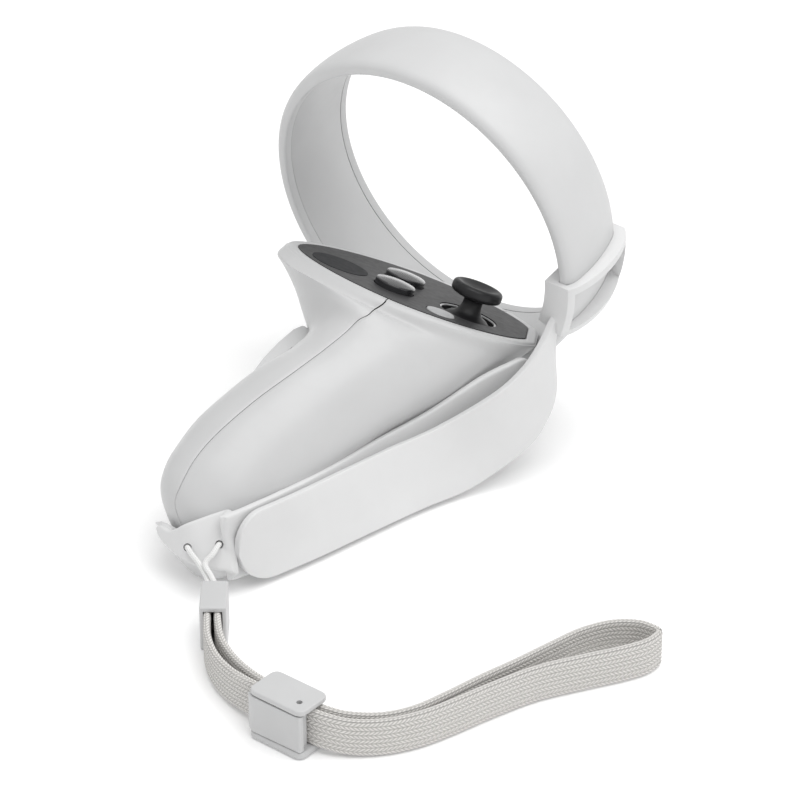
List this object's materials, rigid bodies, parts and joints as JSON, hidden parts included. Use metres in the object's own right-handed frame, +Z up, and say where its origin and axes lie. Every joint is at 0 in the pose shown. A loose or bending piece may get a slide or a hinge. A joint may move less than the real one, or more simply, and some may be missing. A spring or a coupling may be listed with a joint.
{
  "type": "vr motion controller",
  "caption": "Right-hand motion controller with a halo tracking ring, thumbstick, push buttons, trigger, silicone knuckle strap and a braided wrist lanyard, lying on its side.",
  "frame": {"origin": "middle of the controller's bounding box on the table it lies on, the lanyard left out", "axes": "+Z up from the table; +Y away from the side the controller is seen from, the long way of the controller's box; +X to the right, from the foot of the grip towards the head"},
  "size_m": [0.1179, 0.194, 0.1035],
  "materials": {
    "shell_white": "soft satin",
    "plate_grey": "matte",
    "thumb_dark": "matte",
    "stick_rubber": "matte",
    "button_black": "glossy domed",
    "pale_plastic": "satin",
    "inner_black": "matte",
    "steel": "plain",
    "board": "satin",
    "cell_skin": "satin",
    "silicone": "soft matte",
    "hook_fabric": "hooked pile",
    "braid": "braided tape",
    "cord_white": "braided thin cord"
  },
  "bodies": {
    "controller": {"ring_outer_shell": "shell_white", "ring_inner_liner": "shell_white", "led_flex_strip": "board", "ring_root": "shell_white", "grip_shell": "shell_white", "battery_cover": "shell_white", "faceplate": "plate_grey", "thumb_rest": "thumb_dark", "stick_trim_ring": "pale_plastic", "faceplate_ledge": "shell_white", "button_membrane": "pale_plastic", "main_board": "board", "stick_housing": "inner_black", "trigger_pin": "steel", "grip_pin": "steel", "trigger_spring": "steel", "grip_spring": "steel", "inner_frame": "inner_black", "battery": "cell_skin", "battery_sled": "inner_black", "battery_spring": "steel", "battery_contact": "steel", "haptic_motor": "steel", "shell_screws": "steel", "strap_sleeve": "silicone", "strap_outer_band": "silicone", "strap_inner_band": "silicone", "strap_boot": "silicone", "hook_pad": "hook_fabric", "lanyard_cord": "cord_white", "lanyard_crimp": "pale_plastic", "lanyard_near_run": "braid", "lanyard_far_run": "braid", "slider_frame": "pale_plastic", "slider_spring": "steel"},
    "button_a": {"button_a": "button_black"},
    "button_b": {"button_b": "button_black"},
    "menu_button": {"menu_button": "pale_plastic"},
    "yoke": {"stick_yoke": "steel"},
    "cross": {"stick_cross": "inner_black"},
    "stick": {"stick_shaft": "stick_rubber", "stick_cap": "stick_rubber"},
    "trigger": {"trigger": "shell_white"},
    "grip_button": {"grip_button": "shell_white"},
    "slider_button": {"slider_button": "pale_plastic"}
  },
  "joints": [
    {"name": "button_a_press", "type": "slide", "parent": "controller", "child": "button_a", "axis": [-0.3485, -0.2589, -0.9009], "range_m": [0, 0.001], "stiffness_N_per_m": 600, "springref_m": -0.0008},
    {"name": "button_b_press", "type": "slide", "parent": "controller", "child": "button_b", "axis": [-0.3485, -0.2589, -0.9009], "range_m": [0, 0.001], "stiffness_N_per_m": 600, "springref_m": -0.0008},
    {"name": "menu_press", "type": "slide", "parent": "controller", "child": "menu_button", "axis": [-0.3485, -0.2589, -0.9009], "range_m": [0, 0.0005], "stiffness_N_per_m": 600, "springref_m": -0.0005},
    {"name": "stick_tilt_x", "type": "hinge", "parent": "controller", "child": "yoke", "pos_m": [0.01556, 0.00487, 0.02869], "axis": [0.9336, -0.1815, -0.309], "range_deg": [-15, 15], "stiffness_Nm_per_rad": 0.03},
    {"name": "stick_tilt_y", "type": "hinge", "parent": "yoke", "child": "cross", "pos_m": [0.01556, 0.00487, 0.02869], "axis": [0.0835, 0.9487, -0.3049], "range_deg": [-15, 15], "stiffness_Nm_per_rad": 0.03},
    {"name": "stick_click", "type": "slide", "parent": "cross", "child": "stick", "axis": [-0.3485, -0.2589, -0.9009], "range_m": [0, 0.0006], "stiffness_N_per_m": 2000, "springref_m": -0.0006},
    {"name": "trigger_pull", "type": "hinge", "parent": "controller", "child": "trigger", "pos_m": [-0.00384, 0.01205, 0.02147], "axis": [-0.7548, 0.365, 0.545], "range_deg": [0, 14], "stiffness_Nm_per_rad": 0.06, "springref_deg": -20.05},
    {"name": "grip_press", "type": "hinge", "parent": "controller", "child": "grip_button", "pos_m": [-0.01907, 0.00075, 0.02926], "axis": [-0.232, -0.2663, 0.9356], "range_deg": [0, 4], "stiffness_Nm_per_rad": 0.08, "springref_deg": -17.19, "deforming": ["grip_spring"]},
    {"name": "slider_press", "type": "slide", "parent": "controller", "child": "slider_button", "axis": [0.6293, 0.7771, 0], "range_m": [0, 0.001], "stiffness_N_per_m": 500, "springref_m": -0.0008, "deforming": ["slider_spring"]}
  ]
}
